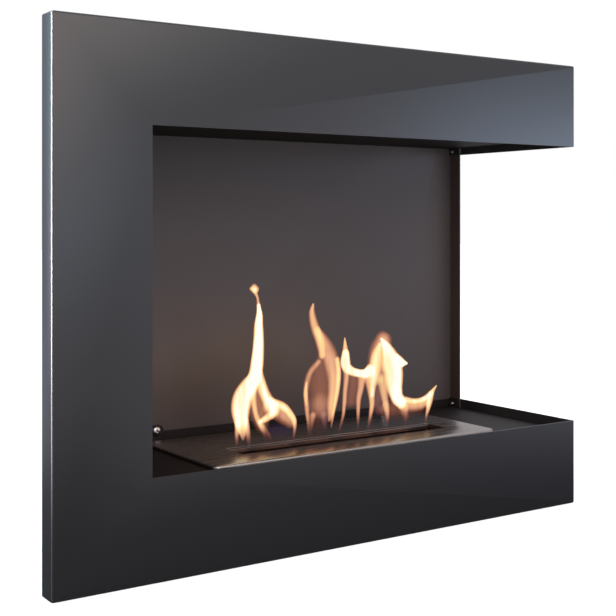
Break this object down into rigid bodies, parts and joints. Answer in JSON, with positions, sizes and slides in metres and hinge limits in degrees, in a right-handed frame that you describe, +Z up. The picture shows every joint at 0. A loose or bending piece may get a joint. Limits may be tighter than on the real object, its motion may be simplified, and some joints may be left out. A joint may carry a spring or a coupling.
{
  "type": "bioethanol fireplace",
  "caption": "Corner bioethanol fireplace: C-shaped sheet-steel frame, firebox open to the front and right, and a drop-in slot burner with a sliding shutter.",
  "frame": {"origin": "centre of the footprint, on the surface that the casing stands on", "axes": "+X to the right seen from the front, towards the open side; +Y from the front frame to the back panel; +Z up"},
  "size_m": [0.8, 0.275, 0.637],
  "materials": {
    "frame_paint": "satin anthracite powder coat with a fine grain",
    "firebox_paint": "matt heat-resistant black paint, warm brown in the firelight",
    "stainless": "brushed stainless steel, grain along the length",
    "fastener_steel": "plain bright zinc",
    "ceramic_fibre": "soft white ceramic fibre, fuel-soaked",
    "flame": "luminous ethanol flame, clear and blue at its base"
  },
  "bodies": {
    "casing": {"front_frame": "frame_paint", "back_panel": "firebox_paint", "left_wall": "firebox_paint", "floor_tray": "firebox_paint", "ceiling_panel": "firebox_paint", "base_cover": "frame_paint", "top_cover": "frame_paint", "lower_cheek": "frame_paint", "upper_cheek": "frame_paint", "frame_bracket_top_1": "fastener_steel", "frame_nut_top_1": "fastener_steel", "frame_bracket_top_2": "fastener_steel", "frame_nut_top_2": "fastener_steel", "frame_bracket_bottom_1": "fastener_steel", "frame_nut_bottom_1": "fastener_steel", "frame_bracket_bottom_2": "fastener_steel", "frame_nut_bottom_2": "fastener_steel", "frame_bracket_side_1": "fastener_steel", "frame_nut_side_1": "fastener_steel", "frame_bracket_side_2": "fastener_steel", "frame_nut_side_2": "fastener_steel", "corner_screw_lower": "fastener_steel", "corner_screw_upper": "fastener_steel", "tray_screw_left": "fastener_steel", "tray_screw_right": "fastener_steel"},
    "burner": {"burner_plate": "stainless", "burner_tank": "stainless", "shutter_guide_left": "stainless", "shutter_guide_right": "stainless", "fibre_block": "ceramic_fibre", "fibre_screen": "stainless"},
    "shutter": {"sliding_shutter": "stainless"}
  },
  "joints": [
    {"name": "burner_lift", "type": "slide", "parent": "casing", "child": "burner", "axis": [0, 0, 1], "range_m": [0, 0.09]},
    {"name": "shutter_slide", "type": "slide", "parent": "burner", "child": "shutter", "axis": [0, -1, 0], "range_m": [0, 0.045]}
  ]
}
